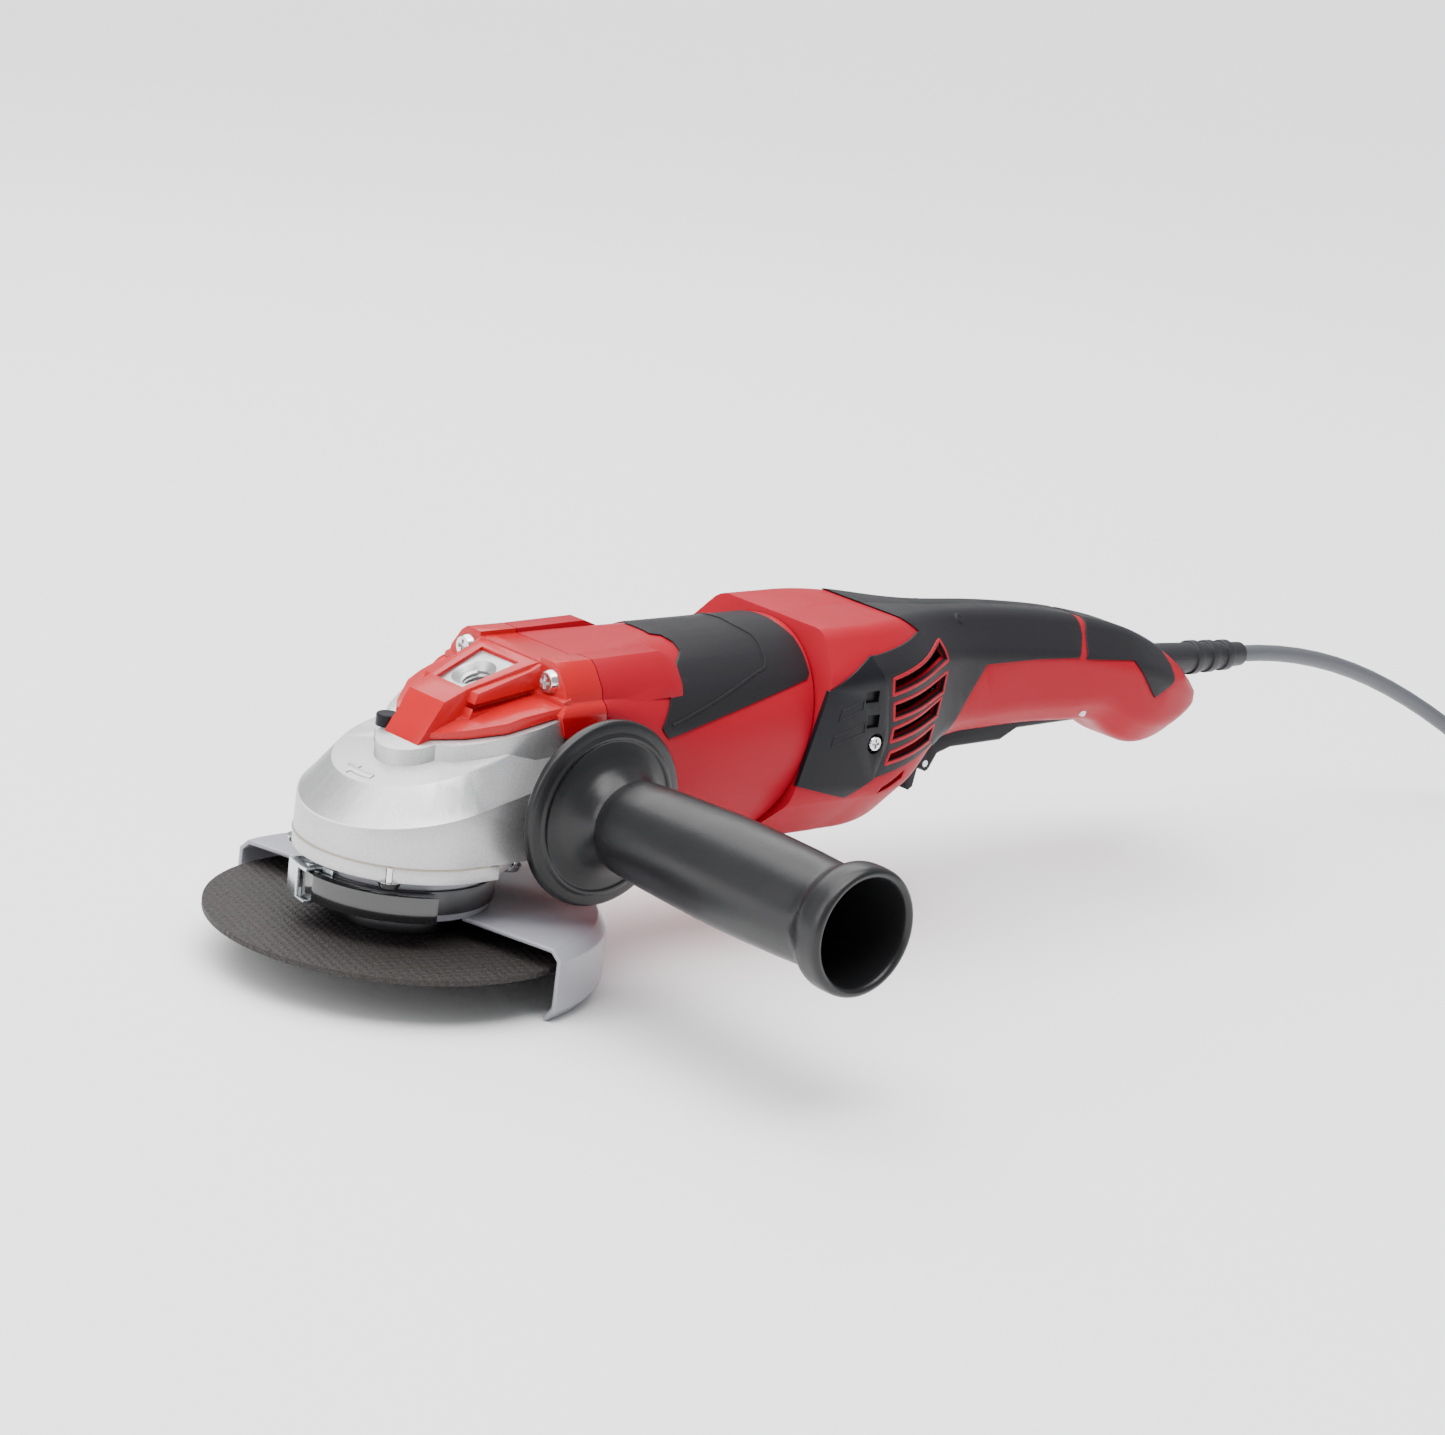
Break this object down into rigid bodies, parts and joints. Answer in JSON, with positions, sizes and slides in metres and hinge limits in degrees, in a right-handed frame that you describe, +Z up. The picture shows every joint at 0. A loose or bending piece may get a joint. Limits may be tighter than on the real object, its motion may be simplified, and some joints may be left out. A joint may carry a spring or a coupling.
{
  "type": "angle grinder",
  "caption": "Corded angle grinder with a long tail grip, paddle switch, quick-release guard, cutting disc and screw-in side handle.",
  "frame": {"origin": "centre of the spindle's free end face", "axes": "+Z up along the spindle, away from the disc; +X from the spindle towards the tail grip; the side handle points to -Y"},
  "size_m": [0.8955, 0.2357, 0.1071],
  "materials": {
    "red_plastic": "satin moulded",
    "red_gloss_plastic": "glossy moulded",
    "black_rubber": "matte fine grain",
    "black_plastic": "satin",
    "black_coated": "glossy dipped coating",
    "cast_aluminium": "fine sand-cast grain",
    "grey_paint": "satin silver paint",
    "zinc": "bright zinc",
    "steel": "ground",
    "dark_steel": "blackened",
    "chrome": "polished",
    "disc_resin": "resin-bonded grit with fibre mesh",
    "gasket_paper": "fibre paper",
    "laminations": "stacked laminations",
    "copper": "enamelled copper",
    "brush_brass": "plain",
    "carbon": "carbon",
    "cord_grey": "matte sheath"
  },
  "bodies": {
    "housing": {"gear_case": "cast_aluminium", "gear_gasket": "gasket_paper", "bearing_cover": "cast_aluminium", "cover_screws": "chrome", "head_cap": "red_gloss_plastic", "head_cap_screws": "chrome", "spindle_bearing": "steel", "needle_bush": "steel", "lock_spring": "steel", "side_handle": "black_plastic", "handle_stud": "zinc", "motor_housing": "red_plastic", "housing_pad": "black_rubber", "stator_core": "laminations", "stator_coils": "copper", "front_motor_bearing": "steel", "rear_motor_bearing": "steel", "air_baffle": "black_plastic", "brush_holders": "black_plastic", "carbon_brushes": "carbon", "brush_springs": "brush_brass", "brush_cover_left": "black_plastic", "brush_cover_right": "black_plastic", "brush_cover_screws": "chrome", "rear_housing_left": "red_plastic", "rear_housing_right": "red_plastic", "grip_sleeve_left": "black_rubber", "grip_sleeve_right": "black_rubber", "tail_pad_left": "black_rubber", "tail_pad_right": "black_rubber", "switch_block": "black_plastic", "paddle_pin": "steel", "speed_module": "black_plastic", "cord_clamp": "black_plastic", "strain_relief": "cord_grey", "power_cord": "cord_grey", "cord_coil": "cord_grey", "plug": "black_plastic"},
    "spindle": {"spindle": "steel", "bevel_gear": "dark_steel", "inner_flange": "dark_steel", "cutting_disc": "disc_resin", "lock_nut": "dark_steel"},
    "armature": {"armature_shaft": "steel", "armature_core": "laminations", "armature_windings": "copper", "commutator": "copper", "fan": "black_plastic", "bevel_pinion": "dark_steel"},
    "guard": {"guard_shield": "grey_paint", "guard_collar": "grey_paint", "clamp_band": "dark_steel", "clamp_clip": "zinc"},
    "guard_lever": {"clamp_lever": "black_coated"},
    "spindle_lock": {"lock_button": "black_plastic"},
    "paddle": {"paddle_switch": "black_plastic", "lock_off_pin": "zinc"},
    "lock_off": {"lock_off_lever": "black_plastic"},
    "speed_dial": {"speed_dial": "black_plastic"}
  },
  "joints": [
    {"name": "spindle_spin", "type": "hinge", "parent": "housing", "child": "spindle", "pos_m": [0, 0, 0], "axis": [0, 0, 1], "continuous": true},
    {"name": "armature_spin", "type": "hinge", "parent": "housing", "child": "armature", "pos_m": [0.1, 0, 0.063], "axis": [1, 0, 0], "continuous": true},
    {"name": "guard_turn", "type": "hinge", "parent": "housing", "child": "guard", "pos_m": [0, 0, 0.024], "axis": [0, 0, 1], "range_deg": [-90, 90]},
    {"name": "guard_lever_open", "type": "hinge", "parent": "guard", "child": "guard_lever", "pos_m": [-0.0333, 0.0046, 0.024], "axis": [0, 0, -1], "range_deg": [0, 60]},
    {"name": "spindle_lock_press", "type": "slide", "parent": "housing", "child": "spindle_lock", "axis": [0, 0, -1], "range_m": [0, 0.0035], "stiffness_N_per_m": 600, "springref_m": -0.002, "deforming": ["lock_spring"]},
    {"name": "paddle_press", "type": "hinge", "parent": "housing", "child": "paddle", "pos_m": [0.296, 0, 0.0564], "axis": [0, 1, 0], "range_deg": [0, 5], "stiffness_Nm_per_rad": 6, "springref_deg": -17.19},
    {"name": "lock_off_swing", "type": "hinge", "parent": "paddle", "child": "lock_off", "pos_m": [0.2235, 0, 0.0423], "axis": [0, -1, 0], "range_deg": [0, 30], "stiffness_Nm_per_rad": 0.02, "springref_deg": -17.19},
    {"name": "speed_turn", "type": "hinge", "parent": "housing", "child": "speed_dial", "pos_m": [0.3625, 0, 0.055], "axis": [0, 1, 0], "range_deg": [0, 270]}
  ],
  "couplings": [
    {"joint": "armature_spin", "follows": "spindle_spin", "ratio": 3}
  ]
}
